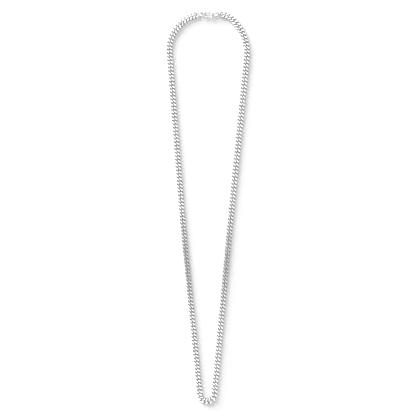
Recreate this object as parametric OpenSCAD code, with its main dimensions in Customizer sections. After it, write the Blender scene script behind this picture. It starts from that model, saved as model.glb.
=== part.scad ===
// Curb chain necklace, fastened, lying flat. Its underside is z = 0, the clasp is at +Y
// and the bottom of the loop is at -Y.

/* [Chain] */
// Number of links from the clasp round to the clasp
link_count = 228; // [228]
// Half length of the oval that the corners of a link lie on
link_reach = 1.886; // [1.884:0.001:1.888]
// Half width of that oval, before the link is twisted
link_side = 2.12; // [2.1:0.01:2.14]
// Thickness of the wire of the links
wire_t = 1.0; // [0.98:0.01:1.0]
// Twist of the wire over one link spacing, in degrees
link_twist = 75; // [72:1:78]
// Thickness of the chain after its two faces are filed flat
link_t = 2.0; // [1.9:0.05:2.1]
// How much closer the two links lie where one run of the chain meets the next
run_gap = 0.16; // [0.1:0.01:0.2]

/* [Rings] */
// Wire thickness of the ring that the clasp's hook holds
catch_wire = 0.8; // [0.7:0.05:0.8]
// Radius of that ring, at the middle of its wire
catch_r = 1.9; // [1.88:0.01:1.92]
// Wire thickness of the two end rings
end_wire = 0.7; // [0.6:0.05:0.7]
// Radius of the end rings, at the middle of their wire
end_r = 1.95; // [1.93:0.01:1.96]

/* [Clasp] */
// Length of the clasp, from the hook to the end of the eye
clasp_l = 10.8; // [10.8]
// Width across the hook
hook_w = 4.4; // [4.3:0.1:4.5]
// Thickness of the hook
hook_t = 1.0; // [0.9:0.05:1.0]
// Radius of the round belly that holds the lever
belly_r = 1.6; // [1.5:0.05:1.65]
// Outer width of the eye
eye_w = 3.2; // [3.1:0.05:3.3]
// Thickness of the eye
eye_t = 0.8; // [0.7:0.05:0.8]
// Thickness of the lever's root, which turns in the slot of the belly
root_t = 0.6; // [0.5:0.05:0.6]
// Diameter of the rivet that the lever turns on
pin_d = 0.6; // [0.5:0.05:0.6]

/* [Hidden] */
// Corners of the route that the chain lies along, clockwise from the clasp: x, y, radius
route = [
  [14.3, 139.1, 14.2],
  [29.3, 123.0, 34.4],
  [16.3, -5.5, 1080],
  [3.8, -139.0, 5.2],
  [-5.8, -139.0, 5.2],
  [-18.8, -5.5, 1080],
  [-28.9, 125.2, 26.8],
  [-11.4, 139.1, 22.8]
];
// Middle of the clasp, which lies on the straight at the top, and its height above the ground
clasp_x = 1.7;
clasp_y = route[0][1];
clasp_z = 1.78;
// Distance along the route from the middle of the clasp to the first link and back to the last
first_at = 8.05;
last_at = 10.95;
// Links in each run, clockwise from the clasp
run_links = [8, 8, 8, 41, 41, 16, 41, 41, 8, 8, 8];

$fn = 48;

// A row of the route by its number, which wraps round
function corner(i) = route[(i + len(route)) % len(route)];
function corner_point(i) = [corner(i)[0], corner(i)[1]];
function unit(v) = v / norm(v);
// Direction of the straight that leaves a corner, and the turn made at the corner
function leaving(i) = unit(corner_point(i + 1) - corner_point(i));
function heading(v) = atan2(v[1], v[0]);
function turn(i) = let (a = leaving(i - 1), b = leaving(i)) atan2(a[0] * b[1] - a[1] * b[0], a * b);
function setback(i) = corner(i)[2] * tan(abs(turn(i)) / 2);
function arc_length(i) = corner(i)[2] * abs(turn(i)) * PI / 180;
function straight_length(i) = norm(corner_point(i + 1) - corner_point(i)) - setback(i) - setback(i + 1);
// Distances are measured clockwise from the middle of the clasp, on the straight at the top
clasp_to_bend = route[0][0] - setback(0) - clasp_x;
function length_to(i) = i == 0 ? clasp_to_bend : length_to(i - 1) + arc_length(i - 1) + straight_length(i - 1);
arc_starts = [for (i = [0 : len(route) - 1]) length_to(i)];
route_length = length_to(len(route)) - clasp_to_bend;
// Place and heading at a distance along the route: x, y, angle
function on_arc(i, run) = let (
    from = corner_point(i) - leaving(i - 1) * setback(i),
    sweep = sign(turn(i)) * run / corner(i)[2] * 180 / PI,
    chord = heading(leaving(i - 1)) + sweep / 2,
    reach = 2 * corner(i)[2] * sin(abs(sweep) / 2)
  ) [from[0] + reach * cos(chord), from[1] + reach * sin(chord), heading(leaving(i - 1)) + sweep];
function on_straight(i, run) = let (p = corner_point(i) + leaving(i) * (setback(i) + run))
  [p[0], p[1], heading(leaving(i))];
function on_route(s) = let (
    d = s < arc_starts[0] ? s + route_length : s,
    i = max([for (k = [0 : len(route) - 1]) if (arc_starts[k] <= d) k]),
    run = d - arc_starts[i]
  ) run < arc_length(i) ? on_arc(i, run) : on_straight(i, run - arc_length(i));

// Spacing of the links, and where each run's links lie along the route
pitch = (route_length - first_at - last_at) / (link_count - 1);
function links_before(k) = k == 0 ? 0 : links_before(k - 1) + run_links[k - 1];
function link_place(k, i) = let (n = run_links[k], middle = first_at + pitch * (links_before(k) + (n - 1) / 2))
  middle + (i - (n - 1) / 2) * (pitch + run_gap / n);

// One link: an oval of eight straight bars of square wire, twisted to the left about its length, its faces filed flat
stations = 8;
half_step = 180 / stations;
// Angle to each side over which the wire's direction is taken
look_step = 3;
function wire_turn(x) = -link_twist * x / pitch;
function wire_middle(t) = let (x = link_reach * cos(t), y = link_side * sin(t), f = wire_turn(x))
  [x, y * cos(f), y * sin(f)];
function wire_along(t) = unit(wire_middle(t + look_step) - wire_middle(t - look_step));
function wire_outward(t) = let (
    f = wire_turn(link_reach * cos(t)),
    n = [link_side * cos(t), link_reach * sin(t) * cos(f), link_reach * sin(t) * sin(f)],
    a = wire_along(t)
  ) unit(n - (n * a) * a);
function filed(p) = [p[0], p[1], max(-link_t / 2, min(link_t / 2, p[2]))];
function wire_section(t) = let (c = wire_middle(t), n = wire_outward(t), b = cross(wire_along(t), n))
  [for (k = [[1, 1], [-1, 1], [-1, -1], [1, -1]]) filed(c + wire_t / 2 * (k[0] * n + k[1] * b))];
link_points = [for (i = [0 : stations - 1]) each wire_section((2 * i + 1) * half_step)];
link_faces = [for (i = [0 : stations - 1], j = [0 : 3])
  let (a = 4 * i, b = 4 * ((i + 1) % stations), j2 = (j + 1) % 4)
  each [[a + j, b + j2, a + j2], [a + j, b + j, b + j2]]];

module link() polyhedron(link_points, link_faces);

// One run of the chain, whose links lie hooked through each other
module chain_run(k) {
  color("silver")
    for (i = [0 : run_links[k] - 1])
      let (p = on_route(link_place(k, i)))
        translate([p[0], p[1], link_t / 2]) rotate([0, 0, p[2]]) link();
}

module ring(r, wire) rotate_extrude() translate([r, 0]) circle(d = wire);

// A closed ring at a distance along the route, tilted about the chain's length and sloping along it
module placed_ring(s, z, tilt, slope, r, wire) {
  p = on_route(s);
  color("silver") translate([p[0], p[1], z]) rotate([0, 0, p[2]]) rotate([0, slope, 0]) rotate([tilt, 0, 0]) ring(r, wire);
}

// Where each ring lies along the route, its height, tilt and slope
left_at = -8.22;
left_z = 1.4;
left_tilt = 29;
left_slope = -10.5;
catch_at = -5.36;
catch_tilt = -44.7;
right_at = 5.78;
right_z = 1.71;
right_tilt = -43.8;
right_slope = 2.5;

module end_ring_left() placed_ring(left_at, left_z, left_tilt, left_slope, end_r, end_wire);

module catch_ring() placed_ring(catch_at, clasp_z, catch_tilt, 0, catch_r, catch_wire);

module end_ring_right() placed_ring(right_at, right_z, right_tilt, right_slope, end_r, end_wire);

// The clasp in its own frame, with its length along X and its lever towards -Y
hook_r = (hook_w - hook_t) / 2;
hook_x = hook_w / 2 - clasp_l / 2;
eye_x = clasp_l / 2 - eye_w / 2;
eye_r = (eye_w - eye_t) / 2;
belly_x = 1.1;
// The arm along the back leaves the hook's curve at this angle, thickens and comes down to the belly
arm_fall = 15;
arm_l = 4.0;
arm_end_r = 0.85;
// The neck between the belly and the eye
neck_r = belly_r - 0.1;
neck_end_r = 0.7;
// Slot for the lever, open towards -Y, with room on each side of the lever's root
root_room = 0.08;
slot_t = root_t + 2 * root_room;
slot_start = belly_x - belly_r;
slot_end = belly_x + 1.3;
slot_floor = 0.45;
// Rivet, and its play in each of the two bores
pin_x = 1.0;
pin_y = -0.4;
pin_l = 2.7;
play = 0.05;
// Lever: its tip and the hook's end follow one arc about the rivet, so that the tip swings past
tip_r = 2.98;
tip_gap = 0.12;
arm_stop = belly_x - 1.45;
root_r = 0.75;
plate_r = 0.6;
plate_start = -1.0;
// Thumb nub, with bevelled edges, on a thinner neck
nub_x = 0.9;
nub_tip = -3.25;
nub_r = 0.5;
nub_l = 1.0;
nub_bevel = 0.2;
nub_neck_r = 0.36;

module in_clasp() translate([clasp_x, clasp_y, clasp_z]) children();

// Cast body: hook, arm along the back, belly with its slot, neck and eye
module clasp_body() {
  color("silver") in_clasp() difference() {
    union() {
      translate([hook_x, 0, 0]) {
        rotate([0, 0, 90 - arm_fall]) rotate_extrude(angle = 180 + arm_fall) translate([hook_r, 0]) circle(d = hook_t);
        rotate([0, 0, -arm_fall]) translate([0, hook_r, 0]) rotate([0, 90, 0])
          cylinder(r1 = hook_t / 2, r2 = arm_end_r, h = arm_l);
      }
      difference() {
        translate([hook_x, -hook_r, 0]) rotate([0, 90, 0]) cylinder(d = hook_t, h = pin_x - hook_x);
        translate([pin_x, pin_y, -hook_t]) cylinder(r = tip_r + tip_gap, h = 2 * hook_t);
      }
      translate([belly_x, 0, 0]) rotate([90, 0, 0]) rotate([0, 90, 0]) sphere(r = belly_r);
      translate([belly_x, 0, 0]) rotate([0, 90, 0]) cylinder(r1 = neck_r, r2 = neck_end_r, h = eye_x - eye_r - belly_x);
      translate([eye_x, 0, 0]) ring(eye_r, eye_t);
    }
    translate([slot_start, -2 * belly_r, -slot_t / 2]) cube([slot_end - slot_start, 2 * belly_r + slot_floor, slot_t]);
    translate([pin_x, pin_y, -belly_r]) cylinder(d = pin_d + 2 * play, h = 2 * belly_r);
  }
}

// Sprung lever: arm, root with its bore, and the thumb nub
module clasp_lever() {
  color("silver") in_clasp() difference() {
    union() {
      intersection() {
        translate([hook_x, -hook_r, 0]) rotate([0, 90, 0]) cylinder(d = hook_t, h = arm_stop - hook_x);
        translate([pin_x, pin_y, -hook_t]) cylinder(r = tip_r, h = 2 * hook_t);
      }
      translate([pin_x, pin_y, -root_t / 2]) cylinder(r = root_r, h = root_t);
      translate([0, 0, -root_t / 2]) linear_extrude(root_t)
        polygon([[plate_start, -hook_r], [nub_x + nub_neck_r, -hook_r], [pin_x + plate_r, pin_y], [pin_x - plate_r, pin_y]]);
      translate([nub_x, nub_tip, 0]) rotate([-90, 0, 0]) {
        cylinder(r = nub_neck_r, h = -hook_r - nub_tip);
        rotate_extrude() polygon([[0, 0], [nub_r - nub_bevel, 0], [nub_r, nub_bevel], [nub_r, nub_l - nub_bevel],
          [nub_r - nub_bevel, nub_l], [0, nub_l]]);
      }
    }
    translate([pin_x, pin_y, -root_t]) cylinder(d = pin_d + 2 * play, h = 2 * root_t);
  }
}

// Rivet through the belly and the lever's root
module lever_pin() {
  color("silver") in_clasp() translate([pin_x, pin_y, -pin_l / 2]) cylinder(d = pin_d, h = pin_l);
}

chain_run(0);  // chain_run_1
chain_run(1);  // chain_run_2
chain_run(2);  // chain_run_3
chain_run(3);  // chain_run_4
chain_run(4);  // chain_run_5
chain_run(5);  // chain_run_6
chain_run(6);  // chain_run_7
chain_run(7);  // chain_run_8
chain_run(8);  // chain_run_9
chain_run(9);  // chain_run_10
chain_run(10);  // chain_run_11
end_ring_left();
catch_ring();
clasp_body();
clasp_lever();
lever_pin();
end_ring_right();
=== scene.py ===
import bpy
import math
import random
from mathutils import Matrix, Vector


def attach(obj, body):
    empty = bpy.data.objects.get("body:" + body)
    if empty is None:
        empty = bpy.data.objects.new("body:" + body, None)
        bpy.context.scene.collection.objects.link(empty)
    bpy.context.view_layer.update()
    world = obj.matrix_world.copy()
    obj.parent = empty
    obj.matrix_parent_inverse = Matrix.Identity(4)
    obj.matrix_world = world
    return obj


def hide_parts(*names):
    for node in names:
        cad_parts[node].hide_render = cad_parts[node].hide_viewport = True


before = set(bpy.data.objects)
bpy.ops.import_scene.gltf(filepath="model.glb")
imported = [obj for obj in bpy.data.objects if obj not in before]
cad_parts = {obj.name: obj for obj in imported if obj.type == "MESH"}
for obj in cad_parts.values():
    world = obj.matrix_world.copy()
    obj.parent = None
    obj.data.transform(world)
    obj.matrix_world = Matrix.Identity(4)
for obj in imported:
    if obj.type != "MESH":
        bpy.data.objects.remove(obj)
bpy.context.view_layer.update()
bpy.ops.object.select_all(action="DESELECT")
random.seed(11)

# The camera looks straight down at the necklace, as in the photograph, whose frame takes in 299.5 mm of the
# floor each way. Sizes are in mm here, and in metres once they are multiplied by mm.
mm = 0.001
photo_width = 299.5 * mm
lens = 100.0
sensor = 36.0
camera_x = -0.05
camera_y = -0.07
camera_height = photo_width * lens / sensor
bpy.ops.object.camera_add(location=(camera_x * mm, camera_y * mm, camera_height), rotation=(0, 0, 0))
camera = bpy.context.object
camera.name = "camera"
camera.data.lens = lens
camera.data.sensor_width = sensor
camera.data.clip_start = 0.01
bpy.context.scene.camera = camera

# The chain is 228 alike links of sterling silver wire, a little taller than wide in section. Each is bent to
# an oval, twisted to the left so that it lies flat, hooked through the one before it and soldered shut. Both
# faces of the chain are then filed flat and bright, and the recesses between them stay rougher, with painted
# shade.
link_count = 228
run_links = [8, 8, 8, 41, 41, 16, 41, 41, 8, 8, 8]
# Along the route, the first link is first_at from the middle of the clasp, and the last one last_at from it
first_at = 8.05
last_at = 10.95
clasp_x = 1.7
# Corners of the route that the chain lies along, clockwise from the clasp: x, y and radius of the bend
route = [
    (14.3, 139.1, 14.2),
    (29.3, 123.0, 34.4),
    (16.3, -5.5, 1080.0),
    (3.8, -139.0, 5.2),
    (-5.8, -139.0, 5.2),
    (-18.8, -5.5, 1080.0),
    (-28.9, 125.2, 26.8),
    (-11.4, 139.1, 22.8),
]


def corner(i):
    """Place of a corner, in mm. The corners go round, so that the first one follows the last."""
    return Vector(route[i % len(route)][:2])


def heading_after(i):
    """Direction from a corner to the next one."""
    step = corner(i + 1) - corner(i)
    return math.atan2(step.y, step.x)


def corner_turn(i):
    """Angle that the route turns by at a corner, below zero where it turns clockwise."""
    turn = heading_after(i) - heading_after(i - 1)
    return (turn + math.pi) % (2 * math.pi) - math.pi


def corner_reach(i):
    """Length that the bend at a corner takes up on each side of it."""
    return route[i % len(route)][2] * math.tan(abs(corner_turn(i)) / 2)


def straight_length(i):
    """Length that the bends leave straight between a corner and the next one."""
    return (corner(i + 1) - corner(i)).length - corner_reach(i) - corner_reach(i + 1)


# Distances along the route at which its bends start, measured clockwise from the middle of the clasp
arc_starts = [corner(0).x - corner_reach(0) - clasp_x]
for i in range(len(route)):
    arc_starts.append(arc_starts[-1] + route[i][2] * abs(corner_turn(i)) + straight_length(i))
route_length = arc_starts.pop() - arc_starts[0]


def on_route(distance):
    """Place and heading, in mm and radians, at a distance clockwise from the middle of the clasp."""
    if distance < arc_starts[0]:
        distance += route_length
    i = max(k for k in range(len(route)) if arc_starts[k] <= distance)
    run = distance - arc_starts[i]
    radius = route[i][2]
    turn = corner_turn(i)
    start = heading_after(i - 1)
    begin = corner(i) - Vector((math.cos(start), math.sin(start))) * corner_reach(i)
    swept = min(run / radius, abs(turn)) * math.copysign(1, turn)
    chord = 2 * radius * math.sin(abs(swept) / 2)
    place = begin + Vector((math.cos(start + swept / 2), math.sin(start + swept / 2))) * chord
    beyond = max(0, run - radius * abs(turn))
    heading = start + swept
    return place + Vector((math.cos(heading), math.sin(heading))) * beyond, heading


pitch = (route_length - first_at - last_at) / (link_count - 1)
wire = 1.1
wire_height = 1.23
link_width = 4.75
link_thickness = 2.0
link_twist = math.radians(70)
link_squareness = 1.14
half_length = (pitch + wire) / 2
half_width = (link_width - wire) / 2
steps_per_quarter = 4
wire_rounding = 1
filing_tolerance = 0.001
largest_lean = 1

bpy.ops.curve.primitive_bezier_circle_add(radius=1, location=(0, 0, 0))
link = bpy.context.object
for point in link.data.splines[0].bezier_points:
    point.handle_left = point.co + (point.handle_left - point.co) * link_squareness
    point.handle_right = point.co + (point.handle_right - point.co) * link_squareness
bpy.ops.object.mode_set(mode="EDIT")
bpy.ops.curve.select_all(action="SELECT")
bpy.ops.transform.resize(value=(half_length * mm, half_width * mm, 1), center_override=(0, 0, 0))
bpy.ops.object.mode_set(mode="OBJECT")
link.data.resolution_u = steps_per_quarter
link.data.twist_mode = "Z_UP"
link.data.bevel_depth = wire / 2 * mm
link.data.bevel_resolution = wire_rounding
bpy.ops.object.convert(target="MESH")
link = bpy.context.object
bpy.ops.object.modifier_add(type="SIMPLE_DEFORM")
link.modifiers[-1].deform_method = "TWIST"
link.modifiers[-1].deform_axis = "X"
link.modifiers[-1].angle = -link_twist * link.dimensions.x / (pitch * mm)
bpy.ops.object.modifier_apply(modifier=link.modifiers[-1].name)
bpy.ops.object.shade_smooth()
bpy.ops.object.mode_set(mode="EDIT")
bpy.ops.mesh.select_all(action="SELECT")
bpy.ops.transform.resize(value=(1, 1, wire_height / wire), center_override=(0, 0, 0))
for side in (1, -1):
    bpy.ops.mesh.select_all(action="SELECT")
    bpy.ops.mesh.bisect(plane_co=(0, 0, side * link_thickness / 2 * mm), plane_no=(0, 0, side),
                        use_fill=True, clear_outer=True, threshold=filing_tolerance * mm)
    bpy.ops.mesh.mark_sharp()
bpy.ops.object.mode_set(mode="OBJECT")
bpy.ops.object.select_all(action="DESELECT")

# Its silver is smooth near the two filed faces and rougher towards the middle, with fine file marks
# Its colour is also painted darker towards the middle, as painted shade in the recesses between the links
recess_level = 0.70
filed_level = 0.98
recess_shade_tone = 0.66
filed_tone = 0.78
recess_roughness = 0.32
filed_roughness = 0.14
file_mark_scale = 1100
file_mark_detail = 4
file_mark_strength = 0.2
file_mark_depth = 0.008

link_silver = bpy.data.materials.new("filed_silver_wire")
link_silver.use_nodes = True
nodes = link_silver.node_tree.nodes
links = link_silver.node_tree.links
shader = nodes["Principled BSDF"]
shader.inputs["Metallic"].default_value = 1
surface_point = nodes.new("ShaderNodeTexCoord")
axes = nodes.new("ShaderNodeSeparateXYZ")
above_middle = nodes.new("ShaderNodeMath")
above_middle.operation = "SUBTRACT"
above_middle.inputs[1].default_value = link_thickness / 2 * mm
from_middle = nodes.new("ShaderNodeMath")
from_middle.operation = "ABSOLUTE"
polish_and_shade = nodes.new("ShaderNodeMapRange")
polish_and_shade.inputs["From Min"].default_value = recess_level * mm
polish_and_shade.inputs["From Max"].default_value = filed_level * mm
# Mixes the painted shade of the recesses with the filed faces' own silver tone
tone = nodes.new("ShaderNodeMix")
tone.data_type = "RGBA"
tone.inputs[6].default_value = (recess_shade_tone, recess_shade_tone, recess_shade_tone, 1)
tone.inputs[7].default_value = (filed_tone, filed_tone, filed_tone, 1)
gloss = nodes.new("ShaderNodeMapRange")
gloss.inputs["To Min"].default_value = recess_roughness
gloss.inputs["To Max"].default_value = filed_roughness
unevenness = nodes.new("ShaderNodeTexNoise")
unevenness.inputs["Scale"].default_value = file_mark_scale
unevenness.inputs["Detail"].default_value = file_mark_detail
file_marks = nodes.new("ShaderNodeBump")
file_marks.inputs["Strength"].default_value = file_mark_strength
file_marks.inputs["Distance"].default_value = file_mark_depth * mm
links.new(surface_point.outputs["Object"], unevenness.inputs["Vector"])
links.new(unevenness.outputs["Fac"], file_marks.inputs["Height"])
links.new(file_marks.outputs["Normal"], shader.inputs["Normal"])
links.new(surface_point.outputs["Object"], axes.inputs["Vector"])
links.new(axes.outputs["Z"], above_middle.inputs[0])
links.new(above_middle.outputs["Value"], from_middle.inputs[0])
links.new(from_middle.outputs["Value"], polish_and_shade.inputs["Value"])
links.new(polish_and_shade.outputs["Result"], tone.inputs["Factor"])
links.new(tone.outputs[2], shader.inputs["Base Color"])
links.new(polish_and_shade.outputs["Result"], gloss.inputs["Value"])
links.new(gloss.outputs["Result"], shader.inputs["Roughness"])

# The links lie in runs, one for each of the chain's nodes, and each leans a little to one side or the other
links_before = 0
for run, count in enumerate(run_links):
    middle = first_at + pitch * (links_before + (count - 1) / 2)
    copies = []
    for i in range(count):
        place, heading = on_route(middle + (i - (count - 1) / 2) * pitch)
        copy = link.copy()
        copy.data = link.data.copy()
        bpy.context.collection.objects.link(copy)
        lean = Matrix.Rotation(math.radians(random.uniform(-largest_lean, largest_lean)), 4, "X")
        copy.matrix_world = (Matrix.Translation((place.x * mm, place.y * mm, link_thickness / 2 * mm))
                             @ Matrix.Rotation(heading, 4, "Z") @ lean)
        copies.append(copy)
    links_before += count
    for copy in copies:
        copy.select_set(True)
    bpy.context.view_layer.objects.active = copies[0]
    bpy.ops.object.join()
    piece = bpy.context.object
    bpy.ops.object.transform_apply(location=True, rotation=True, scale=True)
    node = "chain_run_%d" % (run + 1)
    piece.name = "links_%d" % (run + 1)
    piece.data.materials.clear()
    piece.data.materials.append(link_silver)
    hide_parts(node)
    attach(piece, "chain")
    bpy.ops.object.select_all(action="DESELECT")
bpy.data.objects.remove(link)

# Three rings of round silver wire join the clasp to the chain: a thin one at each end of the chain, and a
# thicker one that the hook holds. Each is soldered shut, which leaves a faint swelling, and tumbled bright.
clasp_height = 1.78
end_ring_wire = 0.7
end_ring_radius = 1.95
catch_ring_wire = 0.8
catch_ring_radius = 1.9
ring_steps = 60
ring_sides = 14
seam_half_angle = math.radians(7)
seam_swelling = 1.05
# The silver of the rings, clasp and rivet is painted darker low down, as painted shade, between these heights
# in mm
shade_full_below = 0.5
shade_gone_above = 2.4
cloud_scale = 900
cloud_detail = 4
cloud_share = 0.12
cloud_low = 0.3
cloud_high = 0.7
roughest = 1.25
smoothest = 0.8
scratch_scale = 1600
scratch_detail = 3
scratch_closeness = 9
scratch_strength = 0.25


def tumbled_silver(name, top_tone, low_shade_tone, roughness, scratch_depth):
    """Bright silver with faint clouds and scratches, and painted shade that darkens it low down."""
    silver = bpy.data.materials.new(name)
    silver.use_nodes = True
    nodes = silver.node_tree.nodes
    links = silver.node_tree.links
    shader = nodes["Principled BSDF"]
    shader.inputs["Metallic"].default_value = 1
    surface_point = nodes.new("ShaderNodeTexCoord")
    clouds = nodes.new("ShaderNodeTexNoise")
    clouds.inputs["Scale"].default_value = cloud_scale
    clouds.inputs["Detail"].default_value = cloud_detail
    axes = nodes.new("ShaderNodeSeparateXYZ")
    # Height sets the painted shade, darkest low down; the faint random clouds vary the tone on top of it
    height = nodes.new("ShaderNodeMapRange")
    height.inputs["From Min"].default_value = shade_full_below * mm
    height.inputs["From Max"].default_value = shade_gone_above * mm
    height.inputs["To Min"].default_value = 0
    height.inputs["To Max"].default_value = 1 - cloud_share / 2
    mottle_and_shade = nodes.new("ShaderNodeMath")
    mottle_and_shade.operation = "MULTIPLY_ADD"
    mottle_and_shade.inputs[1].default_value = cloud_share
    shade = nodes.new("ShaderNodeMix")
    shade.data_type = "RGBA"
    shade.inputs[6].default_value = (low_shade_tone, low_shade_tone, low_shade_tone, 1)
    shade.inputs[7].default_value = (top_tone, top_tone, top_tone, 1)
    gloss = nodes.new("ShaderNodeMapRange")
    gloss.inputs["From Min"].default_value = cloud_low
    gloss.inputs["From Max"].default_value = cloud_high
    gloss.inputs["To Min"].default_value = roughness * roughest
    gloss.inputs["To Max"].default_value = roughness * smoothest
    along = nodes.new("ShaderNodeMapping")
    along.inputs["Scale"].default_value = (1, scratch_closeness, scratch_closeness)
    scratches = nodes.new("ShaderNodeTexNoise")
    scratches.inputs["Scale"].default_value = scratch_scale
    scratches.inputs["Detail"].default_value = scratch_detail
    relief = nodes.new("ShaderNodeBump")
    relief.inputs["Strength"].default_value = scratch_strength
    relief.inputs["Distance"].default_value = scratch_depth * mm
    links.new(surface_point.outputs["Object"], clouds.inputs["Vector"])
    links.new(surface_point.outputs["Object"], axes.inputs["Vector"])
    links.new(axes.outputs["Z"], height.inputs["Value"])
    links.new(clouds.outputs["Fac"], mottle_and_shade.inputs[0])
    links.new(height.outputs["Result"], mottle_and_shade.inputs[2])
    links.new(mottle_and_shade.outputs["Value"], shade.inputs["Factor"])
    links.new(shade.outputs[2], shader.inputs["Base Color"])
    links.new(clouds.outputs["Fac"], gloss.inputs["Value"])
    links.new(gloss.outputs["Result"], shader.inputs["Roughness"])
    links.new(surface_point.outputs["Object"], along.inputs["Vector"])
    links.new(along.outputs["Vector"], scratches.inputs["Vector"])
    links.new(scratches.outputs["Fac"], relief.inputs["Height"])
    links.new(relief.outputs["Normal"], shader.inputs["Normal"])
    return silver


ring_silver = tumbled_silver("tumbled_ring_silver", top_tone=0.9, low_shade_tone=0.62, roughness=0.2,
                             scratch_depth=0.01)


def pick_faces(piece, wanted):
    """Selects the faces that are wanted, and leaves the piece in edit mode."""
    bpy.ops.object.mode_set(mode="EDIT")
    bpy.ops.mesh.select_mode(type="FACE")
    bpy.ops.mesh.select_all(action="DESELECT")
    bpy.ops.object.mode_set(mode="OBJECT")
    for face in piece.data.polygons:
        face.select = wanted(face)
    bpy.ops.object.mode_set(mode="EDIT")


def soldered_ring(node, radius, thickness, seam_at, distance, height, tilt, slope):
    """A ring with its seam at an angle round it, tilted about the chain's length and sloping along it."""
    bpy.ops.mesh.primitive_torus_add(major_segments=ring_steps, minor_segments=ring_sides, location=(0, 0, 0),
                                     major_radius=radius * mm, minor_radius=thickness / 2 * mm)
    ring = bpy.context.object
    ring.name = node + "_wire"
    bpy.ops.object.shade_smooth()
    seam = Vector((math.cos(math.radians(seam_at)), math.sin(math.radians(seam_at)), 0))
    pick_faces(ring, lambda face: face.center.xy.angle(seam.xy) < seam_half_angle)
    bpy.ops.transform.resize(value=(seam_swelling, seam_swelling, seam_swelling),
                             center_override=seam * radius * mm)
    bpy.ops.object.mode_set(mode="OBJECT")
    place, heading = on_route(distance)
    ring.matrix_world = (Matrix.Translation((place.x * mm, place.y * mm, height * mm))
                         @ Matrix.Rotation(heading, 4, "Z") @ Matrix.Rotation(math.radians(slope), 4, "Y")
                         @ Matrix.Rotation(math.radians(tilt), 4, "X"))
    bpy.ops.object.transform_apply(location=True, rotation=True, scale=True)
    ring.data.materials.clear()
    ring.data.materials.append(ring_silver)
    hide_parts(node)
    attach(ring, "chain")
    bpy.ops.object.select_all(action="DESELECT")


soldered_ring("end_ring_left", end_ring_radius, end_ring_wire, seam_at=100,
              distance=-8.22, height=1.4, tilt=29, slope=-10.5)
soldered_ring("catch_ring", catch_ring_radius, catch_ring_wire, seam_at=250,
              distance=-5.36, height=clasp_height, tilt=-44.7, slope=0)
soldered_ring("end_ring_right", end_ring_radius, end_ring_wire, seam_at=60,
              distance=5.78, height=1.71, tilt=-43.8, slope=2.5)

# The lobster clasp's body is one piece of cast silver: a hook, an arm along its back, a round belly and an
# eye that the right end ring goes through. The casting is cleaned up and polished, and a slot for the lever
# is sawn in its belly.
clasp_place = Vector((clasp_x, route[0][1], clasp_height))
hook_x = -3.2
hook_radius = 1.7
hook_wire = 1.0
hook_steps = 13
hook_start = 270
hook_end = 75
eye_x = 3.8
eye_radius = 1.2
eye_wire = 0.8
eye_steps = 48
eye_sides = 16
section_sides = 20
rounding_levels = 2
slot_low = Vector((-0.5, -3.2, -0.38))
slot_high = Vector((2.4, 0.45, 0.38))
rivet_x = 1.0
rivet_y = -0.4
rivet_bore = 0.33
rivet_sides = 32
drill_length = 4
casting_grid = 0.055
smoothing = 0.5
smoothing_rounds = 6
# The clasp's silver also gets painted shade low down
body_silver = tumbled_silver("polished_cast_silver", top_tone=0.93, low_shade_tone=0.7, roughness=0.24,
                             scratch_depth=0.014)


def cast_bar(name, stations):
    """A bar of changing section along stations: x, y, heading in degrees, half width and half height."""
    x, y, facing, half_wide, half_high = stations[0]
    bpy.ops.mesh.primitive_circle_add(vertices=section_sides, radius=mm, fill_type="NGON", location=(0, 0, 0),
                                      rotation=(0, math.pi / 2, math.radians(facing)))
    bar = bpy.context.object
    bar.name = name
    bpy.ops.object.transform_apply(location=True, rotation=True, scale=True)
    bpy.ops.object.mode_set(mode="EDIT")
    bpy.ops.mesh.select_all(action="SELECT")
    bpy.ops.transform.resize(value=(half_wide, half_wide, half_high), center_override=(0, 0, 0))
    bpy.ops.transform.translate(value=(x * mm, y * mm, 0))
    for next_x, next_y, next_facing, next_wide, next_high in stations[1:]:
        centre = (next_x * mm, next_y * mm, 0)
        bpy.ops.mesh.extrude_region_move(
            TRANSFORM_OT_translate={"value": ((next_x - x) * mm, (next_y - y) * mm, 0)})
        bpy.ops.transform.rotate(value=math.radians(facing - next_facing), orient_axis="Z",
                                 center_override=centre)
        bpy.ops.transform.resize(value=(next_wide / half_wide, next_wide / half_wide, next_high / half_high),
                                 center_override=centre)
        x, y, facing, half_wide, half_high = next_x, next_y, next_facing, next_wide, next_high
    bpy.ops.mesh.select_all(action="SELECT")
    bpy.ops.mesh.normals_make_consistent(inside=False)
    bpy.ops.object.mode_set(mode="OBJECT")
    bpy.ops.object.modifier_add(type="SUBSURF")
    bar.modifiers[-1].levels = rounding_levels
    bar.modifiers[-1].render_levels = rounding_levels
    bpy.ops.object.modifier_apply(modifier=bar.modifiers[-1].name)
    return bar


def saw_block(low, high):
    """A plain block from its lowest to its highest corner, to cut a slot with."""
    middle = (low + high) / 2 * mm
    bpy.ops.mesh.primitive_cube_add(size=1, location=middle, scale=(high - low) * mm)
    bpy.ops.object.transform_apply(location=True, rotation=True, scale=True)
    return bpy.context.object


def cut_or_join(piece, tool, operation):
    """Cuts the tool out of the piece or joins it to the piece, and removes it."""
    bpy.context.view_layer.objects.active = piece
    bpy.ops.object.modifier_add(type="BOOLEAN")
    piece.modifiers[-1].operation = operation
    piece.modifiers[-1].solver = "EXACT"
    piece.modifiers[-1].object = tool
    bpy.ops.object.modifier_apply(modifier=piece.modifiers[-1].name)
    bpy.data.objects.remove(tool)


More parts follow.
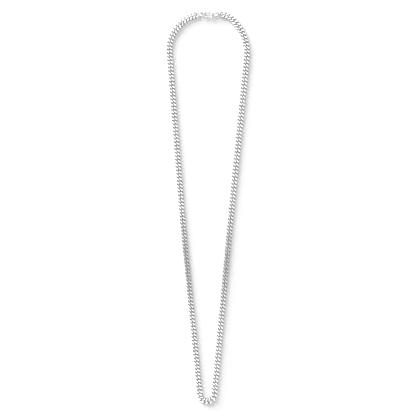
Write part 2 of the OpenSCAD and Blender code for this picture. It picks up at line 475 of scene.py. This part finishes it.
def fused_and_smoothed(piece):
    """Softens the joins and edges of a casting, as tumbling and polishing do."""
    bpy.context.view_layer.objects.active = piece
    bpy.ops.object.modifier_add(type="REMESH")
    piece.modifiers[-1].mode = "VOXEL"
    piece.modifiers[-1].voxel_size = casting_grid * mm
    piece.modifiers[-1].use_smooth_shade = True
    bpy.ops.object.modifier_apply(modifier=piece.modifiers[-1].name)
    bpy.ops.object.modifier_add(type="SMOOTH")
    piece.modifiers[-1].factor = smoothing
    piece.modifiers[-1].iterations = smoothing_rounds
    bpy.ops.object.modifier_apply(modifier=piece.modifiers[-1].name)


def rivet_drill():
    """A rod where the rivet goes, to bore its hole with."""
    bpy.ops.mesh.primitive_cylinder_add(vertices=rivet_sides, radius=rivet_bore * mm, depth=drill_length * mm,
                                        location=(rivet_x * mm, rivet_y * mm, 0))
    bpy.ops.object.transform_apply(location=True, rotation=True, scale=True)
    return bpy.context.object


def put_on_clasp(piece, node, body, silver):
    """Moves a piece from the clasp's own frame to where the clasp lies, and finishes it."""
    piece.location = clasp_place * mm
    piece.select_set(True)
    bpy.context.view_layer.objects.active = piece
    bpy.ops.object.transform_apply(location=True, rotation=True, scale=True)
    piece.data.materials.clear()
    piece.data.materials.append(silver)
    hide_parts(node)
    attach(piece, body)
    bpy.ops.object.select_all(action="DESELECT")


body_stations = [
    (-1.84, -1.70, 206, 0.40, 0.36),
    (-1.90, -1.70, 206, 0.52, 0.47),
    (-2.30, -1.70, 190, 0.50, 0.50),
]
for step in range(hook_steps + 1):
    around = hook_start - (hook_start - hook_end) * step / hook_steps
    station_x = hook_x + hook_radius * math.cos(math.radians(around))
    station_y = hook_radius * math.sin(math.radians(around))
    body_stations.append((station_x, station_y, around - 90, hook_wire / 2, hook_wire / 2))
body_stations += [
    (-1.99, 1.43, -15, 0.55, 0.54),
    (-1.21, 1.22, -16, 0.62, 0.60),
    (-0.60, 1.03, -20, 0.72, 0.69),
    (-0.10, 0.82, -25, 0.90, 0.84),
    (0.35, 0.54, -28, 1.16, 1.07),
    (0.80, 0.26, -22, 1.42, 1.30),
    (1.20, 0.08, -10, 1.54, 1.42),
    (1.60, 0.01, 0, 1.52, 1.40),
    (2.00, 0.00, 0, 1.34, 1.24),
    (2.35, 0.00, 0, 1.02, 0.94),
    (2.60, 0.00, 0, 0.74, 0.68),
    (2.85, 0.00, 0, 0.52, 0.46),
]
body = cast_bar("clasp_casting", body_stations)
bpy.ops.mesh.primitive_torus_add(major_segments=eye_steps, minor_segments=eye_sides,
                                 major_radius=eye_radius * mm, minor_radius=eye_wire / 2 * mm,
                                 location=(eye_x * mm, 0, 0))
eye = bpy.context.object
bpy.ops.object.transform_apply(location=True, rotation=True, scale=True)
cut_or_join(body, eye, "UNION")
cut_or_join(body, saw_block(slot_low, slot_high), "DIFFERENCE")
fused_and_smoothed(body)
cut_or_join(body, rivet_drill(), "DIFFERENCE")
put_on_clasp(body, "clasp_body", "chain", body_silver)

# The lever is a second small casting of the same silver. Its arm shuts the hook, its flat root turns on a
# rivet in the belly's slot, and the thumb pushes on its round nub. A hidden spring holds it shut.
lever_stations = [
    (-1.65, -1.70, 26, 0.40, 0.36),
    (-1.58, -1.70, 26, 0.52, 0.47),
    (-1.20, -1.70, 8, 0.50, 0.50),
    (-0.60, -1.70, 0, 0.50, 0.50),
    (-0.35, -1.69, 8, 0.50, 0.42),
    (0.00, -1.60, 20, 0.54, 0.30),
    (0.45, -1.35, 35, 0.66, 0.29),
    (0.85, -0.90, 60, 0.72, 0.29),
    (1.00, -0.40, 80, 0.70, 0.29),
    (1.02, -0.05, 88, 0.58, 0.29),
    (1.03, 0.20, 90, 0.30, 0.28),
]
nub_stations = [
    (0.90, -1.50, 270, 0.34, 0.26),
    (0.90, -2.05, 270, 0.33, 0.33),
    (0.90, -2.22, 270, 0.36, 0.36),
    (0.90, -2.30, 270, 0.44, 0.44),
    (0.90, -2.50, 270, 0.50, 0.50),
    (0.90, -2.95, 270, 0.50, 0.50),
    (0.90, -3.15, 270, 0.42, 0.42),
    (0.90, -3.25, 270, 0.22, 0.22),
]
lever = cast_bar("lever_casting", lever_stations)
cut_or_join(lever, cast_bar("thumb_nub", nub_stations), "UNION")
fused_and_smoothed(lever)
cut_or_join(lever, rivet_drill(), "DIFFERENCE")
put_on_clasp(lever, "clasp_lever", "lever", body_silver)

# The rivet is a length of round silver wire through the belly and the lever's root, and the lever turns on
# it. Both its ends are hammered to low domes.
rivet_radius = 0.3
rivet_length = 2.7
head_rise = 0.05
head_shrinks = (0.9, 0.75, 0.5)
facing_enough = 0.9
sharp_angle = math.radians(60)
bpy.ops.mesh.primitive_cylinder_add(vertices=rivet_sides, radius=rivet_radius * mm, depth=rivet_length * mm,
                                    location=(rivet_x * mm, rivet_y * mm, 0))
rivet = bpy.context.object
rivet.name = "rivet_wire"
bpy.ops.object.transform_apply(location=True, rotation=True, scale=True)
bpy.ops.object.shade_smooth_by_angle(angle=sharp_angle)
for side in (1, -1):
    pick_faces(rivet, lambda face: face.normal.z * side > facing_enough)
    for shrink in head_shrinks:
        bpy.ops.mesh.extrude_region_move(
            TRANSFORM_OT_translate={"value": (0, 0, side * head_rise / len(head_shrinks) * mm)})
        bpy.ops.transform.resize(value=(shrink, shrink, 1), center_override=(rivet_x * mm, rivet_y * mm, 0))
    bpy.ops.mesh.select_all(action="DESELECT")
    bpy.ops.object.mode_set(mode="OBJECT")
put_on_clasp(rivet, "lever_pin", "chain", ring_silver)

# The necklace lies on a pale studio floor in soft light. A large key light at the upper left throws its
# shadows to the lower right. Two panels hang overhead, and the gap between them shows in the silver as a
# darker stretch across both strands.
room_glow = 0.43
floor_size = 12
floor_tone = 0.9
floor_roughness = 0.9
bpy.ops.mesh.primitive_plane_add(size=floor_size, location=(0, 0, 0))
floor = bpy.context.object
floor.name = "floor"
paper = bpy.data.materials.new("pale_floor")
paper.use_nodes = True
paper_shader = paper.node_tree.nodes["Principled BSDF"]
paper_shader.inputs["Base Color"].default_value = (floor_tone, floor_tone, floor_tone, 1)
paper_shader.inputs["Roughness"].default_value = floor_roughness
floor.data.materials.append(paper)

world = bpy.data.worlds.new("studio")
bpy.context.scene.world = world
world.use_nodes = True
backdrop = world.node_tree.nodes["Background"]
backdrop.inputs["Color"].default_value = (1, 1, 1, 1)
backdrop.inputs["Strength"].default_value = room_glow


def soft_light(name, place, aim, width, length, watts):
    """A rectangular panel of light, with its place, aim and sizes in metres."""
    bpy.ops.object.light_add(type="AREA", location=place)
    light = bpy.context.object
    light.name = name
    light.data.shape = "RECTANGLE"
    light.data.size = width
    light.data.size_y = length
    light.data.energy = watts
    light.rotation_euler = (Vector(aim) - Vector(place)).to_track_quat("-Z", "Y").to_euler()


soft_light("key_light", place=(-4.1, 4.1, 2.1), aim=(0, 0, 0), width=3.6, length=3.6, watts=560)
soft_light("top_light_back", place=(0, 1.02, 3.2), aim=(0, 1.02, 0), width=1.6, length=2.2, watts=20)
soft_light("top_light_front", place=(0, -1.16, 3.2), aim=(0, -1.16, 0), width=1.6, length=1.7, watts=17.5)
bpy.context.scene.view_settings.view_transform = "Standard"
